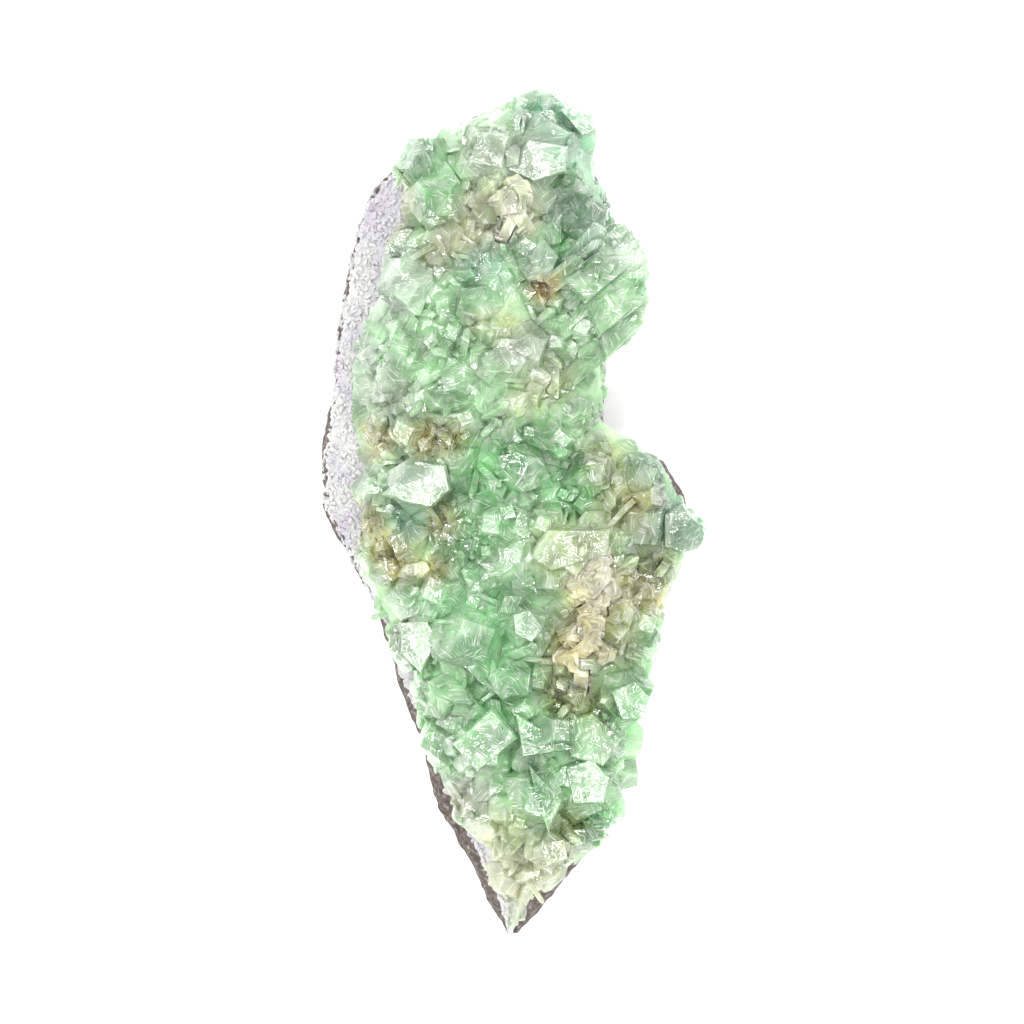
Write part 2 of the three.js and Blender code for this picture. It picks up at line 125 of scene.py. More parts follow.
def ramp(tree, factor, stops):
    node = tree.nodes.new("ShaderNodeValToRGB")
    elements = node.color_ramp.elements
    while len(elements) < len(stops):
        elements.new(0.5)
    for element, (position, color) in zip(elements, stops):
        element.position = position
        element.color = (*color, 1)
    tree.links.new(factor, node.inputs["Fac"])
    return node.outputs["Color"]


def bump(tree, height, strength, distance, before=None):
    node = tree.nodes.new("ShaderNodeBump")
    node.inputs["Strength"].default_value = strength
    node.inputs["Distance"].default_value = distance
    tree.links.new(height, node.inputs["Height"])
    if before is not None:
        tree.links.new(before, node.inputs["Normal"])
    return node.outputs["Normal"]


def displaced(piece, name, size, strength):
    texture = bpy.data.textures.new(name, "CLOUDS")
    texture.noise_scale = size
    settings = {"strength": strength, "mid_level": 0.5, "texture_coords": "LOCAL"}
    apply_modifier(piece, "DISPLACE", texture=texture, **settings)


rock = copy_of("basalt_matrix", "basalt")
apply_modifier(rock, "SUBSURF", subdivision_type="SIMPLE", levels=3, render_levels=3)
displaced(rock, "broken_lumps", size=0.006, strength=0.0016)
displaced(rock, "broken_grain", size=0.0015, strength=0.0006)
# The flat resting face stays flat, and the rough sides stay within the specimen's extent
for vertex in rock.data.vertices:
    vertex.co = [min(max(value, low), high) for value, low, high in zip(vertex.co, *cad_box)]

basalt, tree, shader = new_material("basalt")
grain = ramp(
    tree,
    object_noise(tree, 900, 6, 0.7),
    [
        (0.3, (0.02, 0.016, 0.014)),
        (0.5, (0.075, 0.055, 0.048)),
        (0.62, (0.16, 0.14, 0.12)),
        (0.7, (0.3, 0.28, 0.26)),
    ],
)
tree.links.new(grain, shader.inputs["Base Color"])
shader.inputs["Roughness"].default_value = 0.8
tree.links.new(bump(tree, object_noise(tree, 1600, 5, 0.7), 0.6, 0.0003), shader.inputs["Normal"])
rock.data.materials.clear()
rock.data.materials.append(basalt)
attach(rock, "root")
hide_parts("basalt_matrix")

# The white rind
# A sugary lining of small heulandite blades, the first mineral to grow on the basalt. It shows along the left
# side and at the lower end, white with a faint lavender cast.


def blade_seed(name, width, depth, height):
    """One heulandite crystal, a flat blade with a coffin-shaped head, cut from a block."""
    bpy.ops.object.select_all(action="DESELECT")
    bpy.ops.mesh.primitive_cube_add(size=1, location=(0, 0, height * 0.15))
    seed = bpy.context.object
    seed.name = name
    seed.scale = (width, depth, height * 1.3)
    bpy.ops.object.transform_apply(location=True, rotation=False, scale=True)
    for point, normal in [
        ((width * 0.2, 0, height * 0.8), (1, 0, 1.3)),
        ((-width * 0.3, 0, height * 0.8), (-1, 0, 0.8)),
        ((0, depth * 0.3, height * 0.8), (0, 1, 0.5)),
    ]:
        cut(seed, point, normal)
    return seed


def cut(piece, point, normal):
    """A flat growth face, by cutting off what lies beyond it."""
    select(piece)
    bpy.ops.object.mode_set(mode="EDIT")
    bpy.ops.mesh.select_all(action="SELECT")
    bpy.ops.mesh.bisect(plane_co=point, plane_no=normal, use_fill=True, clear_outer=True)
    bpy.ops.object.mode_set(mode="OBJECT")


def surface_of(*pieces):
    """The surface that crystals are seated on, with the piece that each face belongs to."""
    points, faces, owners = [], [], []
    for piece in pieces:
        start = len(points)
        points += [vertex.co.copy() for vertex in piece.data.vertices]
        faces += [[start + i for i in polygon.vertices] for polygon in piece.data.polygons]
        owners += [piece] * len(piece.data.polygons)
    return BVHTree.FromPolygons(points, faces), owners


def standing(origin, axis, turn, scale):
    """The place of a crystal that grows along an axis."""
    rotation = axis.to_track_quat("Z", "Y").to_matrix().to_4x4()
    spin = Matrix.Rotation(turn, 4, "Z")
    return Matrix.Translation(origin) @ rotation @ spin @ Matrix.Diagonal((*scale, 1))


def inside_box(points):
    (x0, y0, z0), (x1, y1, z1) = cad_box
    return all(x0 <= p[0] <= x1 and y0 <= p[1] <= y1 and z0 <= p[2] <= z1 for p in points)


def grown(seed, matrix, family):
    """A copy of a crystal at its place, unless it would stick out of the specimen's own extent."""
    mesh = seed.data.copy()
    mesh.transform(matrix)
    if not inside_box([vertex.co for vertex in mesh.vertices]):
        bpy.data.meshes.remove(mesh)
        return
    family.objects.link(bpy.data.objects.new(seed.name, mesh))


def new_family(name):
    family = bpy.data.collections.new(name)
    bpy.context.scene.collection.children.link(family)
    return family


def grow_together(piece, family):
    """Joins the crystals of a family to their bed as one solid."""
    modifier = piece.modifiers.new("grown_together", "BOOLEAN")
    modifier.operation = "UNION"
    modifier.solver = "MANIFOLD"
    modifier.operand_type = "COLLECTION"
    modifier.collection = family
    select(piece)
    bpy.ops.object.modifier_apply(modifier=modifier.name)
    for one in list(family.objects):
        bpy.data.objects.remove(one)
    bpy.data.collections.remove(family)


rind = copy_of("heulandite_rind", "rind")
crust = copy_of("apophyllite_crust", "apophyllite")
sheaf_nodes = ["heulandite_sheaf_right", "heulandite_sheaf_lower_right", "heulandite_sheaf_top"]
sheaves = {node: copy_of(node, node.replace("heulandite_", "cream_")) for node in sheaf_nodes}
whole, owners = surface_of(rock, rind, crust, *sheaves.values())

# Rays that find a seat start this far out, and a full turn is rounded up
OUTSIDE = 0.08
DOWN = Vector((0, 0, -1))
FULL_TURN = 6.3
HALF_LENGTH = 0.09
DRUSY_BLADES, DRUSY_TRIES = 2200, 60000
DRUSY_SUNK = 0.0005

rnd = random.Random(11)


def any_lean():
    return Vector([rnd.uniform(-1, 1) for _ in range(3)])


druse = new_family("druse")
drusy_blade = blade_seed("drusy_blade", width=0.0016, depth=0.0007, height=0.0016)
tries = 0
while len(druse.objects) < DRUSY_BLADES and tries < DRUSY_TRIES:
    tries += 1
    y = rnd.uniform(-HALF_LENGTH, HALF_LENGTH)
    if rnd.random() < 0.6:
        start = Vector((rnd.uniform(-0.042, 0.02), y, OUTSIDE))
        way = DOWN
    else:
        start = Vector((rnd.choice([-OUTSIDE, OUTSIDE]), y, rnd.uniform(0.006, 0.024)))
        way = Vector((-start.x, 0, 0)).normalized()
    place, normal, index, _ = whole.ray_cast(start, way)
    on_rock = place is not None and owners[index] is rock
    on_rim = on_rock and place.x < -0.02 and place.y > -0.02 and place.z > 0.006
    if place is None or not (owners[index] is rind or (on_rim and rnd.random() < 0.6)):
        continue
    axis = (normal + 0.9 * any_lean()).normalized()
    size = rnd.uniform(0.45, 1.1)
    seat = place - axis * DRUSY_SUNK
    scale = (size, size, size * 0.7)
    grown(drusy_blade, standing(seat, axis, rnd.uniform(0, FULL_TURN), scale), druse)
bpy.data.objects.remove(drusy_blade)
grow_together(rind, druse)

rind_white, tree, shader = new_material("rind")
tint = ramp(
    tree,
    object_noise(tree, 90, 3),
    [(0.3, (0.29, 0.27, 0.32)), (0.5, (0.35, 0.35, 0.35)), (0.7, (0.41, 0.405, 0.38))],
)
tree.links.new(tint, shader.inputs["Base Color"])
shader.inputs["Roughness"].default_value = 0.35
shader.inputs["Subsurface Weight"].default_value = 0.4
shader.inputs["Subsurface Radius"].default_value = (0.0015, 0.0013, 0.0014)
shader.inputs["Subsurface Scale"].default_value = 1
tree.links.new(bump(tree, object_noise(tree, 2400, 3, 0.6), 0.3, 0.0002), shader.inputs["Normal"])
rind.data.materials.clear()
rind.data.materials.append(rind_white)
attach(rind, "root")
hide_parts("heulandite_rind")

# The green apophyllite
# Square prisms whose corners are cut by steep pyramid faces, from pea size down to a millimetre, all grown
# together over the rind. They are clear to milky, mint green, with khaki and olive stains of iron.


def prism_seed(name, width, tip, flat):
    """One apophyllite crystal: a block with four pyramid faces over its edges, and a flat end."""
    bpy.ops.object.select_all(action="DESELECT")
    bpy.ops.mesh.primitive_cube_add(size=1, location=(0, 0, tip * 0.5 - width * 0.35))
    seed = bpy.context.object
    seed.name = name
    seed.scale = (width, width, tip + width * 0.7)
    bpy.ops.object.transform_apply(location=True, rotation=False, scale=True)
    for x in (-1, 1):
        for y in (-1, 1):
            cut(seed, (x * flat, y * flat, tip), (x, y, 0.81))
    return seed


blunt_prism = prism_seed("blunt_prism", width=0.004, tip=0.0026, flat=0.0005)
flat_prism = prism_seed("flat_prism", width=0.004, tip=0.0018, flat=0.0011)
sharp_prism = prism_seed("sharp_prism", width=0.0036, tip=0.0036, flat=0.00015)
plate = blade_seed("plate", width=0.0042, depth=0.0006, height=0.0032)
needle = prism_seed("needle", width=0.0011, tip=0.0060, flat=0.0001)

# Places kept clear of small crystals, each a centre and a reach: the five-sided face, the bright flat end,
# the clear point, the great diamond, the pale block and others
CLEAN_FACES = [
    (-0.020, 0.006, 0.0062), (0.0138, 0.0825, 0.0042), (0.0045, -0.0595, 0.0062), (-0.006, -0.048, 0.006),
    (0.012, -0.0077, 0.0052), (-0.009, -0.0275, 0.0048), (0.006, -0.0475, 0.004), (-0.022, 0.049, 0.0042),
    (0.0265, 0.048, 0.006), (-0.0067, -0.0273, 0.0065), (-0.0168, -0.0474, 0.0045), (-0.0204, -0.0273, 0.004),
    (0.0029, -0.023, 0.0035), (0.0166, -0.0474, 0.005), (0.027, -0.040, 0.0035), (0.0145, -0.0565, 0.004),
    (-0.0155, 0.0684, 0.0045), (-0.0195, 0.077, 0.0035), (0.0045, 0.074, 0.004), (0.035, -0.0035, 0.004),
]
# Steps to the places around a seat, by which a hollow is told from a crest
RING = [(0.0035, 0), (-0.0035, 0), (0, 0.0035), (0, -0.0035), (0.0025, 0.0025), (-0.0025, -0.0025)]


def height_at(x, y):
    place, _, _, _ = whole.ray_cast(Vector((x, y, OUTSIDE)), DOWN)
    return place.z if place else 0


SMALL_CRYSTALS, CRYSTAL_TRIES = 1300, 40000
# A crystal whose tip lies over a place lower than this is taken to stick out of the plan, and is left out
EDGE_HEIGHT = 0.004

green = new_family("green")
tries = 0
while len(green.objects) < SMALL_CRYSTALS and tries < CRYSTAL_TRIES:
    tries += 1
    y = rnd.uniform(-HALF_LENGTH, HALF_LENGTH)
    if rnd.random() < 0.8:
        start = Vector((rnd.uniform(-0.042, 0.042), y, OUTSIDE))
        way = DOWN
    else:
        start = Vector((rnd.choice([-OUTSIDE, OUTSIDE]), y, rnd.uniform(0.012, 0.034)))
        way = Vector((-start.x, 0, 0)).normalized()
    place, normal, index, _ = whole.ray_cast(start, way)
    if place is None or owners[index] is not crust:
        continue
    if any(math.hypot(place.x - x, place.y - y) < r for x, y, r in CLEAN_FACES):
        continue
    hollow = 0
    if normal.z > 0.4:
        hollow = sum(height_at(place.x + x, place.y + y) for x, y in RING) / len(RING) - place.z
    if hollow < 0 and rnd.random() < 0.8:
        continue
    axis = (0.6 * normal + Vector((0, 0, 0.8)) + 0.4 * any_lean()).normalized()
    seed = rnd.choices([blunt_prism, flat_prism, sharp_prism, plate, needle], [4, 4, 4, 2, 1.5])[0]
    if seed is needle:
        axis = (axis + 1.2 * Vector((rnd.uniform(-1, 1), rnd.uniform(-1, 1), 0))).normalized()
    size = rnd.choice([0.5, 0.7, 1.0, 1.4, 1.9]) * rnd.uniform(0.85, 1.2)
    if hollow <= 0:
        size *= 0.5
    scale = (size * rnd.uniform(0.75, 1.3), size, size * rnd.uniform(0.8, 1.1))
    raised = place + axis * (min(max(hollow, 0) * 0.85, 0.0026 * size) - 0.0019 * size)
    tip = raised + axis * 0.003 * size
    if height_at(tip.x, tip.y) < EDGE_HEIGHT:
        continue
    grown(seed, standing(raised, axis, rnd.uniform(0, FULL_TURN), scale), green)

# A face that falls away like this along X and Y mirrors the large soft box straight up
TO_KEY_LIGHT = (0.155, -0.117)
# The growth faces that catch the eye, each by its corners in millimetres, how far it stands above its bed,
# and how it falls away along X and Y
EYE_CATCHING = [
    ("five_sided", [(-26.6, 3.8), (-20.2, 10.6), (-14.5, 9.5), (-13.4, 4.7), (-17.3, 1.3), (-22.6, 2.3)], 0.6,
     TO_KEY_LIGHT),
    ("bright_end", [(10.3, 84.5), (13, 85.6), (17.5, 80.5), (14.5, 79.4)], 6, TO_KEY_LIGHT),
    ("clear_point", [(-1.2, -55.5), (2.9, -52.7), (7.5, -56), (7.3, -63.3), (1, -62.8)], 1.2, (0.1, 0.25)),
    ("clear_side", [(3.6, -53.6), (10.1, -60.2), (7.3, -66.3), (5, -60)], 0.6, (-0.5, -0.2)),
    ("rhomb", [(-12, -48.5), (-4.5, -41.5), (0.7, -47.4), (-7.2, -53.8)], 0.8, (0.02, 0.12)),
    ("triangle", [(0.9, -42.6), (12.6, -49.6), (2.2, -51)], 0.9, (-0.25, -0.1)),
    ("pale_blade", [(19.4, -4), (19, -8.9), (8.2, -12.1), (3.9, -9.4), (7.5, -4)], 1.2, (0.04, 0.22)),
    ("left_block", [(-23.6, -23.5), (-18.3, -22.7), (-16.2, -27.3), (-19.4, -33.3), (-23.6, -29.4)], 1,
     TO_KEY_LIGHT),
    ("glitter_low", [(11.3, -53.8), (16.6, -52.1), (19.8, -55.9), (18.7, -60.8), (12.8, -61.2)], 1,
     TO_KEY_LIGHT),
    ("right_block", [(20.9, -37.9), (25.6, -35.8), (28.6, -39), (27.3, -43.2), (23, -43.4)], 1,
     (-0.229, -0.032)),
    ("yellow_blade", [(4.6, 23.5), (7.2, 33.7), (9.8, 32.4), (9.6, 23.9)], 2, (0.3, 0.15)),
    ("lobe_tip", [(35.8, 1.3), (38.6, -3.4), (35.8, -8.4), (32.1, -7.2), (32.1, -0.8)], 0.6, (-0.2, 0.05)),
    ("corner_block", [(10.3, -44.3), (16.7, -42.6), (22.5, -47.5), (18.7, -53), (12.4, -51.4)], 0.7,
     (-0.12, -0.05)),
    ("green_block", [(14.1, -61.9), (18.9, -60.5), (21.5, -63.8), (19.3, -68.7), (15.6, -69.4)], 0.8,
     (-0.1, 0.1)),
    ("upper_blade", [(10.3, 49.5), (24.4, 58.6), (25.7, 52.7), (15.6, 44.3)], 2.2, (0.1, 0.05)),
    ("middle_blade", [(15.6, 44.3), (25.3, 51.5), (27.2, 44.7), (18.3, 37.3)], 1.6, (0.2, -0.25)),
    ("lower_blade", [(18.3, 37.3), (27.2, 44.3), (27.2, 39.6), (19.8, 32.4)], 1.2, (-0.1, 0.1)),
    ("sparkling", [(0.2, -21.6), (3.4, -20.6), (6.2, -24.2), (3.9, -27), (0.6, -25.4)], 0.8, (0.032, -0.229)),
    ("lower_white", [(5.6, -69.6), (10.6, -68.8), (11.2, -72.6), (7.2, -74)], 0.8, TO_KEY_LIGHT),
    ("mid_sparkle", [(-3.2, 11.6), (-0.4, 12.2), (0.3, 9.6), (-2, 8.6)], 0.9, TO_KEY_LIGHT),
    ("mid_lower", [(-2.6, 0.9), (-0.2, 1.4), (0.6, -1), (-2.2, -1.6)], 0.8, TO_KEY_LIGHT),
    ("small_mirror", [(-8.9, 31), (-7.4, 31.3), (-7.2, 29.3), (-8.6, 29.2)], 0.8, TO_KEY_LIGHT),
    ("dark_corner", [(26.4, 49.6), (27.6, 48.9), (27.4, 45.4), (26.2, 46.5)], 0.5, (-0.6, -0.3)),
    ("white_pane", [(-1, 72), (3.5, 78), (11, 76.5), (10.5, 71.5), (4.5, 69.6)], 0.9, (0.17, -0.13)),
]


def growth_face(name, corners, lift, fall, family):
    """A crystal under a flat face of these corners, its sides falling away steeply."""
    centre = Vector((sum(x for x, _ in corners), sum(y for _, y in corners), 0)) / len(corners) / 1000
    seat_point, _, _, _ = whole.ray_cast(centre + Vector((0, 0, OUTSIDE)), DOWN)
    top = min(seat_point.z + 0.6 * lift / 1000, cad_box[1].z - 0.0012)
    bpy.ops.object.select_all(action="DESELECT")
    bpy.ops.mesh.primitive_circle_add(
        vertices=len(corners), radius=0.005, fill_type="NGON", location=(0, 0, 0)
    )
    piece = bpy.context.object
    piece.name = name
    order = corners if sum(
        (x1 - x0) * (y1 + y0) for (x0, y0), (x1, y1) in zip(corners, corners[1:] + corners[:1])
    ) < 0 else corners[::-1]
    for vertex, (x, y) in zip(piece.data.vertices, order):
        x, y = x / 1000, y / 1000
        vertex.co = (x, y, top + fall[0] * (x - centre.x) + fall[1] * (y - centre.y))
    bpy.ops.object.mode_set(mode="EDIT")
    bpy.ops.mesh.select_all(action="SELECT")
    for drop, spread in [(0.0012, 1.1), (0.005, 1.06)]:
        bpy.ops.mesh.extrude_region_move(TRANSFORM_OT_translate={"value": (0, 0, -drop)})
        bpy.ops.transform.resize(value=(spread, spread, 1), center_override=(centre.x, centre.y, top))
    bpy.ops.mesh.select_all(action="SELECT")
    bpy.ops.mesh.normals_make_consistent(inside=False)
    bpy.ops.object.mode_set(mode="OBJECT")
    if inside_box([vertex.co for vertex in piece.data.vertices]):
        family.objects.link(piece)
        bpy.context.scene.collection.objects.unlink(piece)
    else:
        print("outside the box:", name)
        bpy.data.objects.remove(piece)


for face in EYE_CATCHING:
    growth_face(*face, green)

# The long parallel crystals of the sheaf at the upper right
lath = prism_seed("lath", width=0.0020, tip=0.0120, flat=0.0003)
LATHS = 46
for _ in range(LATHS):
    along, across = rnd.uniform(-0.002, 0.005), rnd.uniform(-0.008, 0.011)
    root = Vector((0.0135 + 0.75 * along - 0.45 * across, 0.041 + 0.6 * along + 0.85 * across, OUTSIDE))
    place, _, _, _ = whole.ray_cast(root, DOWN)
    angle = math.radians(rnd.gauss(39, 5))
    axis = Vector((math.cos(angle), math.sin(angle), rnd.uniform(0.25, 0.5))).normalized()
    scale = (rnd.uniform(0.7, 2.2), rnd.uniform(0.35, 0.9), rnd.uniform(0.6, 1.0))
    seat = place + Vector((0, 0, rnd.uniform(-0.001, 0.0008)))
    grown(lath, standing(seat, axis, rnd.uniform(0, FULL_TURN), scale), green)
for seed in (blunt_prism, flat_prism, sharp_prism, plate, needle, lath):
    bpy.data.objects.remove(seed)
grow_together(crust, green)


def linear(color):
    """A colour as light, from its usual screen values of 0 to 255."""
    return [(c / 255 / 12.92) if c < 10.3 else ((c / 255 + 0.055) / 1.055) ** 2.4 for c in color]


# The grid of heights, in millimetres: its reach either way, its step, and how often it is smoothed
LEVEL_X, LEVEL_Y = 43.5, 91.5
LEVEL_STEP = 1.5
LEVEL_PASSES = 6


def smoothed_heights(step):
    """The height of the specimen over a grid, in millimetres, smoothed over its single crystals."""
    columns = np.arange(-LEVEL_X, LEVEL_X + 0.1, step)
    rows = np.arange(-LEVEL_Y, LEVEL_Y + 0.1, step)
    heights = np.array([[height_at(x / 1000, y / 1000) * 1000 for x in columns] for y in rows])
    weight = (heights > 4).astype(float)
    heights *= weight
    for _ in range(LEVEL_PASSES):
        for axis in (0, 1):
            heights = (np.roll(heights, 1, axis) + heights + np.roll(heights, -1, axis)) / 3
            weight = (np.roll(weight, 1, axis) + weight + np.roll(weight, -1, axis)) / 3
    return heights / np.maximum(weight, 0.001)


level = smoothed_heights(LEVEL_STEP)
# How much the ground colour counts beside the stains
GROUND_SHARE = 0.12


def stained_with_painted_light(piece, ground, stains, rusty):
    """Writes the body colour of each point: the ground, and the stains that lie over it. Light is painted into
    the hollows, raising the colour where creases come out too dark, and shade is painted on the crests by
    lowering it. The alpha tells how rusty it is."""
    count = len(piece.data.vertices)
    points = np.empty(count * 3)
    piece.data.vertices.foreach_get("co", points)
    across, along = points[0::3] * 1000, points[1::3] * 1000
    total = np.full(count, GROUND_SHARE)
    mixed = GROUND_SHARE * np.array([linear(ground)] * count)
    for _, color, spots in stains:
        for x, y, reach in spots:
            share = np.exp(-1.4 * ((across - x) ** 2 + (along - y) ** 2) / reach**2)
            total += share
            mixed += share[:, None] * np.array(linear(color))
    rust = np.zeros(count)
    for x, y, reach in rusty:
        rust += np.exp(-((across - x) ** 2 + (along - y) ** 2) / reach**2)
    row = np.clip(((along + LEVEL_Y) / LEVEL_STEP).round().astype(int), 0, level.shape[0] - 1)
    column = np.clip(((across + LEVEL_X) / LEVEL_STEP).round().astype(int), 0, level.shape[1] - 1)
    hollow = level[row, column] - points[2::3] * 1000
    # Painted light in the hollows and painted shade on the crests, by how far each point lies below or above
    # the smoothed height
    painted_hollow_light = 1.1 * np.clip(hollow / 2.5, 0, 1) * np.clip((8 - hollow) / 4, 0, 1)
    painted_crest_shade = 0.16 * np.clip(-hollow / 2, 0, 1)
    painted_light_gain = 1 + painted_hollow_light - painted_crest_shade
    # The tint attribute carries the stains together with this painted light and shade
    layer = piece.data.color_attributes.new("tint", "FLOAT_COLOR", "POINT")
    colors = np.column_stack([mixed / total[:, None] * painted_light_gain[:, None], np.clip(rust, 0, 1)])
    layer.data.foreach_set("color", colors.ravel())


# The colours of the crust, each with its spots: a centre and a reach in millimetres. Scratch programs
# turned the places from pixels to millimetres, sorted them under these colours, and wrote this list.
STAINS = [
    ("frosty white", (208, 224, 209), [
        (-23.6, 48.5, 5), (-31.7, 44.7, 4), (-31, 32, 4), (23.4, 54.2, 3), (-34.2, 8.7, 3), (-20.4, 6.1, 4),
        (-23.6, -40, 3),
    ]),
    ("pale grey", (192, 204, 186), [
        (-6.7, 73.3, 5), (2.9, 74.3, 5), (1.8, 34.1, 5), (-26.8, 24.6, 4), (-20.4, -27.3, 4.5),
        (-8.8, -59.1, 4),
    ]),
    ("cream", (214, 212, 184), [
        (1.8, 62.7, 3.5), (-9.2, 64.8, 3), (-12.6, 57.4, 3.4), (-6.7, 58.5, 3), (-34.2, 60.6, 4),
        (-26.8, 62.7, 4), (-23.6, 65.9, 3), (18.7, -13.6, 4), (0.7, -78.2, 7), (-6.7, -71.8, 3.4),
        (-12, -61.2, 3),
    ]),
    ("yellowish", (202, 214, 170), [
        (-4.6, 68.8, 2.5), (-16.2, 54.2, 3), (-7.1, 40, 2.6), (-1.4, 39.4, 3), (7.7, 27.7, 3.6),
        (1.8, 23.5, 3), (11.3, -7.8, 5.5), (21.3, 0.2, 5), (10.3, -31.6, 3.5), (25.1, -24.1, 3),
        (9.2, -71.8, 3.4), (-2.4, -67.6, 5),
    ]),
    ("tan", (188, 177, 130), [
        (-28.9, 15, 3.4), (-32.1, -2.3, 3.5), (17, -19.9, 5), (25.5, -16.7, 4), (30.4, -18.9, 3),
    ]),
    ("ochre", (192, 156, 100), [
        (6.5, 46.8, 2.4),
    ]),
    ("olive", (174, 164, 110), [
        (-18.3, 15.5, 3.2), (-12, 15, 3.2), (-26.4, -7.8, 3.6), (-24.3, -11.4, 3), (-14.1, -1.9, 3.2),
        (-16.8, -12.9, 3), (26.2, 2.3, 4), (12.8, -27.3, 4.5),
    ]),
    ("dark olive", (146, 154, 92), [
        (14.5, -40, 4.2), (9.4, -37.9, 3.4), (12.4, -65.9, 3),
    ]),
    ("khaki", (158, 166, 126), [
        (18.7, 10.8, 4), (23, 6.6, 4), (30.4, -10.4, 4), (20.9, -27.3, 4.5),
    ]),
    ("grey green", (140, 168, 148), [
        (18.7, 65.9, 5), (11.3, 62.7, 4), (16.6, 58.5, 4), (-19.8, 76.5, 4), (7.1, 52.7, 3.4), (27.2, 8.7, 4),
        (34.6, -1.9, 6), (38.9, -4, 3),
    ]),
    ("blue green", (162, 200, 176), [
        (7.1, 83.9, 5), (13.4, 76.5, 4), (-7.1, 51.5, 4), (-22.6, -1.9, 3),
    ]),
    ("mint", (172, 213, 170), [
        (-16.8, 81.1, 3), (-15.1, 38.3, 6), (-23.6, 34.1, 5), (18.7, 44.7, 6), (-8.8, 27.7, 6),
        (25.1, -49.6, 3.5), (-17.3, -37.9, 5), (2.9, -23.1, 4), (-16.8, -47.4, 5), (15.1, -55.9, 4),
    ]),
    ("fresh green", (152, 203, 154), [
        (-6.7, 46.4, 4), (-8.8, 12.9, 4), (7.1, 11.9, 4), (29.8, -24.8, 3.4), (26.2, -40, 4.5),
        (-6.7, -18.9, 6), (-15.1, -18.9, 4.5), (-6.7, -27.3, 8), (0.1, -36.9, 5), (-6, -46.4, 6),
        (16.6, -47.4, 5),
    ]),
    ("green", (130, 188, 132), [
        (10.7, 57.8, 3), (-15.1, 68.4, 5), (-2.4, 8.7, 6), (-7.1, -1.9, 6), (7.7, -47.4, 4), (18.7, -64.4, 5),
    ]),
    ("deep green", (92, 158, 98), [
        (27.2, 47.9, 2), (13.4, 4.4, 5), (3.9, -59.1, 4.5),
    ]),
]
# Where rust sits in the cracks
RUSTY = [
    (-18.3, 15, 3), (-12, 15, 3.4), (-29, 15, 3), (-32, -1.9, 3), (-26.8, -7.2, 3.5), (-24.6, -10.4, 2.6),
    (-14, -1.9, 2.8), (-17.3, -12.5, 2.8), (6, 46.8, 2.2), (7.1, -30.5, 2), (12.4, -39, 3.5),
    (12.4, -65.5, 2.6), (-35, 15, 2.5), (-1.8, 73.7, 1.4), (-8, 68, 2.6), (-26.8, 60, 3), (16, -19, 3),
    (8, -1, 1.5), (-33, 42, 3),
]
stained_with_painted_light(crust, (172, 208, 168), STAINS, RUSTY)


def planar_cells(tree, scale):
    """Cells that each tilt their own way, as the small growth faces of intergrown crystals do."""
    coordinates = tree.nodes.new("ShaderNodeTexCoord")
    mapping = tree.nodes.new("ShaderNodeMapping")
    mapping.inputs["Scale"].default_value = (scale, scale, scale)
    cells = tree.nodes.new("ShaderNodeTexVoronoi")
    cells.inputs["Scale"].default_value = 1
    away = tree.nodes.new("ShaderNodeVectorMath")
    away.operation = "SUBTRACT"
    lean = tree.nodes.new("ShaderNodeVectorMath")
    lean.operation = "SUBTRACT"
    lean.inputs[1].default_value = (0.5, 0.5, 0.5)
    height = tree.nodes.new("ShaderNodeVectorMath")
    height.operation = "DOT_PRODUCT"
    tree.links.new(coordinates.outputs["Object"], mapping.inputs["Vector"])
    tree.links.new(mapping.outputs["Vector"], cells.inputs["Vector"])
    tree.links.new(mapping.outputs["Vector"], away.inputs[0])
    tree.links.new(cells.outputs["Position"], away.inputs[1])
    tree.links.new(cells.outputs["Color"], lean.inputs[0])
    tree.links.new(away.outputs["Vector"], height.inputs[0])
    tree.links.new(lean.outputs["Vector"], height.inputs[1])
    return height.outputs["Value"], cells.outputs["Color"]


def times(tree, first, second):
    node = tree.nodes.new("ShaderNodeMath")
    node.operation = "MULTIPLY"
    for socket, value in zip(node.inputs, (first, second)):
        if isinstance(value, bpy.types.NodeSocket):
            tree.links.new(value, socket)
        else:
            socket.default_value = value
    return node.outputs[0]


def grain_direction(tree, cell_scale):
    """Coordinates that are turned another way in each small crystal."""
    coordinates = tree.nodes.new("ShaderNodeTexCoord")
    cells = tree.nodes.new("ShaderNodeTexVoronoi")
    cells.inputs["Scale"].default_value = cell_scale
    parts = tree.nodes.new("ShaderNodeSeparateColor")
    turned = tree.nodes.new("ShaderNodeVectorRotate")
    turned.inputs["Axis"].default_value = (0.25, 0.15, 0.95)
    tree.links.new(coordinates.outputs["Object"], cells.inputs["Vector"])
    tree.links.new(cells.outputs["Color"], parts.inputs["Color"])
    tree.links.new(coordinates.outputs["Object"], turned.inputs["Vector"])
    tree.links.new(times(tree, parts.outputs[0], 2 * math.pi), turned.inputs["Angle"])
    return turned.outputs["Vector"]


def growth_lines(tree, direction, line_scale, thin):
    """Fine parallel lines along one direction."""
    mapping = tree.nodes.new("ShaderNodeMapping")
    mapping.inputs["Scale"].default_value = (1, thin, thin)
    noise = tree.nodes.new("ShaderNodeTexNoise")
    noise.inputs["Scale"].default_value = line_scale
    noise.inputs["Detail"].default_value = 1.5
    tree.links.new(direction, mapping.inputs["Vector"])
    tree.links.new(mapping.outputs["Vector"], noise.inputs["Vector"])
    return noise.outputs["Fac"]


def own_tint_and_painted_light(tree):
    node = tree.nodes.new("ShaderNodeAttribute")
    node.attribute_name = "tint"
    return node.outputs["Color"]


def own_rust(tree):
    node = tree.nodes.new("ShaderNodeAttribute")
    node.attribute_name = "tint"
    return node.outputs["Alpha"]


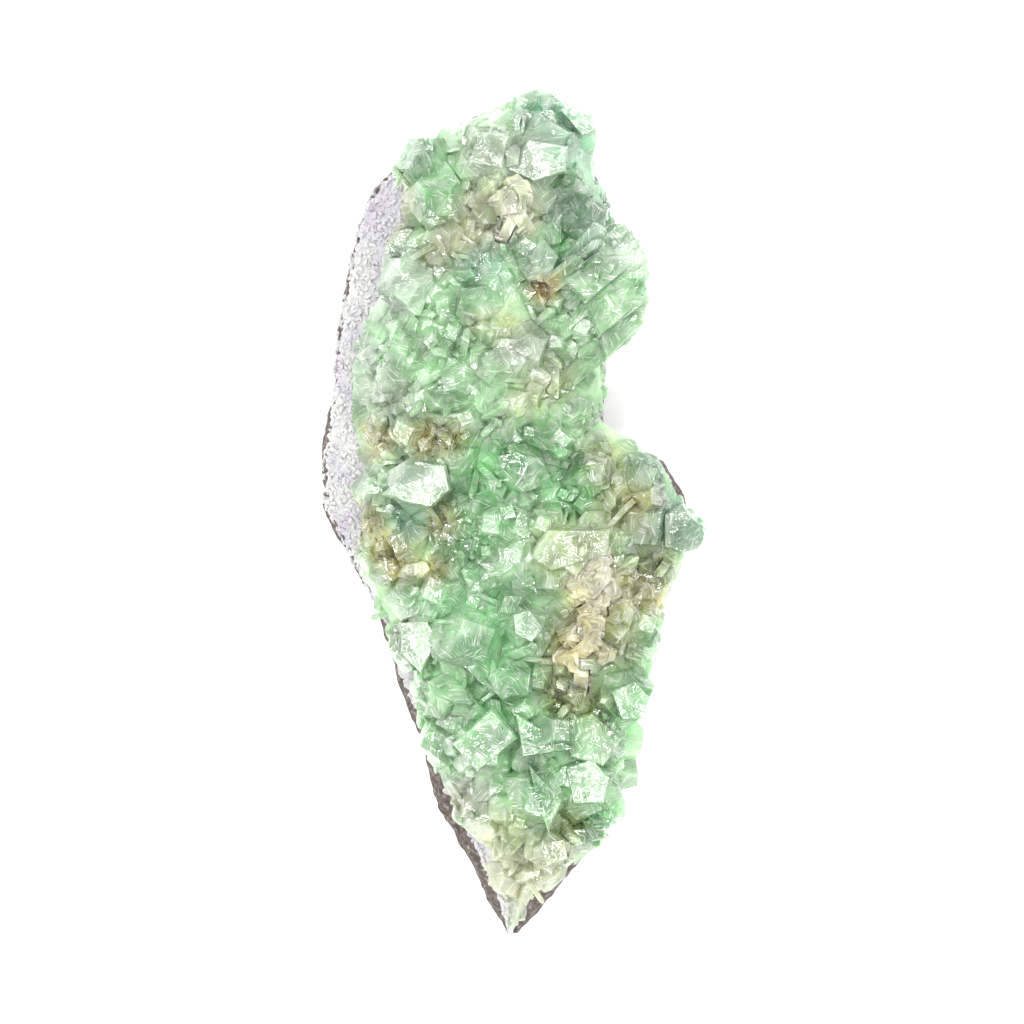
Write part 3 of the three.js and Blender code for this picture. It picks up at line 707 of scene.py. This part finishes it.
def blend(tree, kind, factor, first, second):
    node = tree.nodes.new("ShaderNodeMix")
    node.data_type = "RGBA"
    node.blend_type = kind
    for socket, value in ((node.inputs[0], factor), (node.inputs[6], first), (node.inputs[7], second)):
        if isinstance(value, bpy.types.NodeSocket):
            tree.links.new(value, socket)
        else:
            socket.default_value = value
    return node.outputs[2]


def remap(tree, value, low, high, to_low, to_high):
    node = tree.nodes.new("ShaderNodeMapRange")
    for socket, number in zip(node.inputs[1:5], (low, high, to_low, to_high)):
        socket.default_value = number
    tree.links.new(value, node.inputs[0])
    return node.outputs[0]


def crystal_skin(name, milky, clearer):
    """Glassy crystal with the piece's own tint, which carries painted light in the hollows and painted shade
    on the crests: mottled and veined by tiny gas and mineral inclusions, in part milky, lined by the growth of
    its faces, and crossed by white hairlines that are partly fibrous inclusions and partly painted glints."""
    material, tree, shader = new_material(name)
    coarse, cell_color = planar_cells(tree, 750)
    direction = grain_direction(tree, 360)
    lines = growth_lines(tree, direction, 2600, 0.14)
    white_hairs_and_painted_glints = growth_lines(tree, direction, 4300, 0.05)
    veil = remap(tree, object_noise(tree, 300, 2, 0.7, (1, 0.5, 1)), 0.46, 0.7, 0, 0.5)
    uneven = object_noise(tree, 150, 1)
    patch = remap(tree, uneven, 0.34, 0.66, 0.86, 1.08)
    body = blend(tree, "MULTIPLY", 1.0, own_tint_and_painted_light(tree), patch)
    dapple = ramp(tree, cell_color, [(0.1, (0.94, 0.97, 0.94)), (0.9, (1.03, 1.03, 1.03))])
    body = blend(tree, "MULTIPLY", 1.0, body, dapple)
    body = blend(tree, "MIX", veil, body, milky)
    body = blend(tree, "MIX", remap(tree, lines, 0.5, 0.72, 0, 0.28), body, (0.8, 0.86, 0.79, 1))
    body = blend(tree, "MULTIPLY", remap(tree, lines, 0.5, 0.3, 0, 0.22), body, (0.62, 0.7, 0.6, 1))
    # White hairlines: partly fibrous inclusions, partly painted glints that stand in for small highlights
    body = blend(tree, "MIX", remap(tree, white_hairs_and_painted_glints, 0.6, 0.66, 0, 0.85), body, (0.93, 0.96, 0.92, 1))
    spots = remap(tree, object_noise(tree, 1300, 2, 0.6, (1, 0.5, 1)), 0.59, 0.64, 0, 1)
    body = blend(tree, "MIX", times(tree, own_rust(tree), spots), body, (0.1, 0.055, 0.02, 1))
    vivid = tree.nodes.new("ShaderNodeHueSaturation")
    vivid.inputs["Saturation"].default_value = 1.2
    vivid.inputs["Value"].default_value = 0.64
    tree.links.new(body, vivid.inputs["Color"])
    body = blend(tree, "MULTIPLY", 1.0, vivid.outputs["Color"], (1, 0.96, 0.97, 1))
    tree.links.new(body, shader.inputs["Base Color"])
    shader.inputs["Roughness"].default_value = 0.13
    shader.inputs["IOR"].default_value = 1.535
    shader.inputs["Subsurface Weight"].default_value = 0.7
    shader.inputs["Subsurface Radius"].default_value = (0.004, 0.0048, 0.004)
    shader.inputs["Subsurface Scale"].default_value = 1
    clear = remap(tree, uneven, 0.36, 0.64, clearer, clearer - 0.26)
    tree.links.new(clear, shader.inputs["Transmission Weight"])
    relief = bump(tree, coarse, strength=0.32, distance=0.0006)
    relief = bump(tree, object_noise(tree, 2200, 0), strength=0.12, distance=0.0004, before=relief)
    tree.links.new(relief, shader.inputs["Normal"])
    return material, tree


apophyllite, tree = crystal_skin("apophyllite", milky=(0.7, 0.8, 0.68, 1), clearer=0.45)
absorption = tree.nodes.new("ShaderNodeVolumeAbsorption")
absorption.inputs["Color"].default_value = (0.55, 0.9, 0.55, 1)
absorption.inputs["Density"].default_value = 6
tree.links.new(absorption.outputs["Volume"], tree.nodes["Material Output"].inputs["Volume"])
crust.data.materials.clear()
crust.data.materials.append(apophyllite)
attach(crust, "root")
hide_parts("apophyllite_crust")

# The cream heulandite sheaves
# Later fans of pearly blades, cream to tan, that stand in hollows between the green crystals.
FAN_BLADES, FAN_TRIES = 90, 4000
FAN_REACH = 0.0055
PEARLY_SUNK = 0.003
pearly_blade = blade_seed("pearly_blade", width=0.0034, depth=0.0006, height=0.0042)
for node, sheaf in sheaves.items():
    fan = new_family("fan")
    low, high = sheaf.data.vertices[0].co.copy(), sheaf.data.vertices[0].co.copy()
    for vertex in sheaf.data.vertices:
        low = Vector(map(min, low, vertex.co))
        high = Vector(map(max, high, vertex.co))
    middle = (low + high) / 2
    tries = 0
    while len(fan.objects) < FAN_BLADES and tries < FAN_TRIES:
        tries += 1
        start = Vector((rnd.uniform(low.x, high.x), rnd.uniform(low.y, high.y), OUTSIDE))
        place, _, index, _ = whole.ray_cast(start, DOWN)
        if place is None or (owners[index] is not sheaf and (place - middle).length > FAN_REACH):
            continue
        out = Vector((place.x - middle.x, place.y - middle.y, 0)) * 130
        axis = (out + Vector((0, 0, 0.7)) + 0.3 * any_lean()).normalized()
        size = rnd.uniform(0.5, 1.1)
        seat = place - axis * PEARLY_SUNK
        grown(pearly_blade, standing(seat, axis, rnd.uniform(-0.5, 0.5), (size,) * 3), fan)
    grow_together(sheaf, fan)
bpy.data.objects.remove(pearly_blade)

cream, _ = crystal_skin("heulandite", milky=(0.82, 0.8, 0.7, 1), clearer=0.4)
for node, sheaf in sheaves.items():
    stained_with_painted_light(sheaf, (222, 222, 188), [
        ("cream white", (238, 238, 212), [(18.5, -13.5, 5)]),
        ("tan", (216, 210, 168), [(16, -24, 5), (13, -30, 4)]),
        ("greenish cream", (220, 230, 200), [(2, 64, 6)]),
    ], [(14, -30.5, 2)])
    sheaf.data.materials.clear()
    sheaf.data.materials.append(cream)
    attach(sheaf, "root")
    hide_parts(node)

# The floor, the soft light and the camera
bpy.ops.object.select_all(action="DESELECT")
bpy.ops.mesh.primitive_plane_add(size=6, location=(0, 0, 0))
floor = bpy.context.object
floor.name = "floor"
pale, tree, shader = new_material("floor")
shader.inputs["Base Color"].default_value = (0.9, 0.9, 0.9, 1)
shader.inputs["Roughness"].default_value = 0.9
floor.data.materials.append(pale)

world = bpy.data.worlds.new("studio")
bpy.context.scene.world = world
world.use_nodes = True
world.node_tree.nodes["Background"].inputs["Color"].default_value = (1, 1, 1, 1)
world.node_tree.nodes["Background"].inputs["Strength"].default_value = 1.4

# One large soft box, and small ones in three rings around the specimen, each by its tilt from straight up,
# how many there are, their size and their power
KEY_AZIMUTH = 143
LIGHT_DISTANCE = 1.2
for tilt, count, size, power in [(22, 1, 0.24, 4), (26, 4, 0.1, 2.2), (44, 4, 0.1, 2.2), (62, 4, 0.1, 1.8)]:
    for step in range(count):
        turn = math.radians(KEY_AZIMUTH + (step + (count > 1) * 0.5) * 360 / count)
        out = math.sin(math.radians(tilt))
        up = math.cos(math.radians(tilt))
        place = Vector((out * math.cos(turn), out * math.sin(turn), up)) * LIGHT_DISTANCE
        light = bpy.data.lights.new("soft_box", "AREA")
        light.size = size
        light.energy = power
        lamp = bpy.data.objects.new("soft_box", light)
        lamp.location = place
        lamp.rotation_euler = (-place).to_track_quat("-Z", "Y").to_euler()
        bpy.context.scene.collection.objects.link(lamp)

camera_data = bpy.data.cameras.new("camera")
camera_data.sensor_width = 36
camera_data.lens = 249
camera = bpy.data.objects.new("camera", camera_data)
camera.location = (-0.0002, 0, 1.52)
bpy.context.scene.collection.objects.link(camera)
bpy.context.scene.camera = camera
bpy.context.scene.view_settings.view_transform = "Standard"
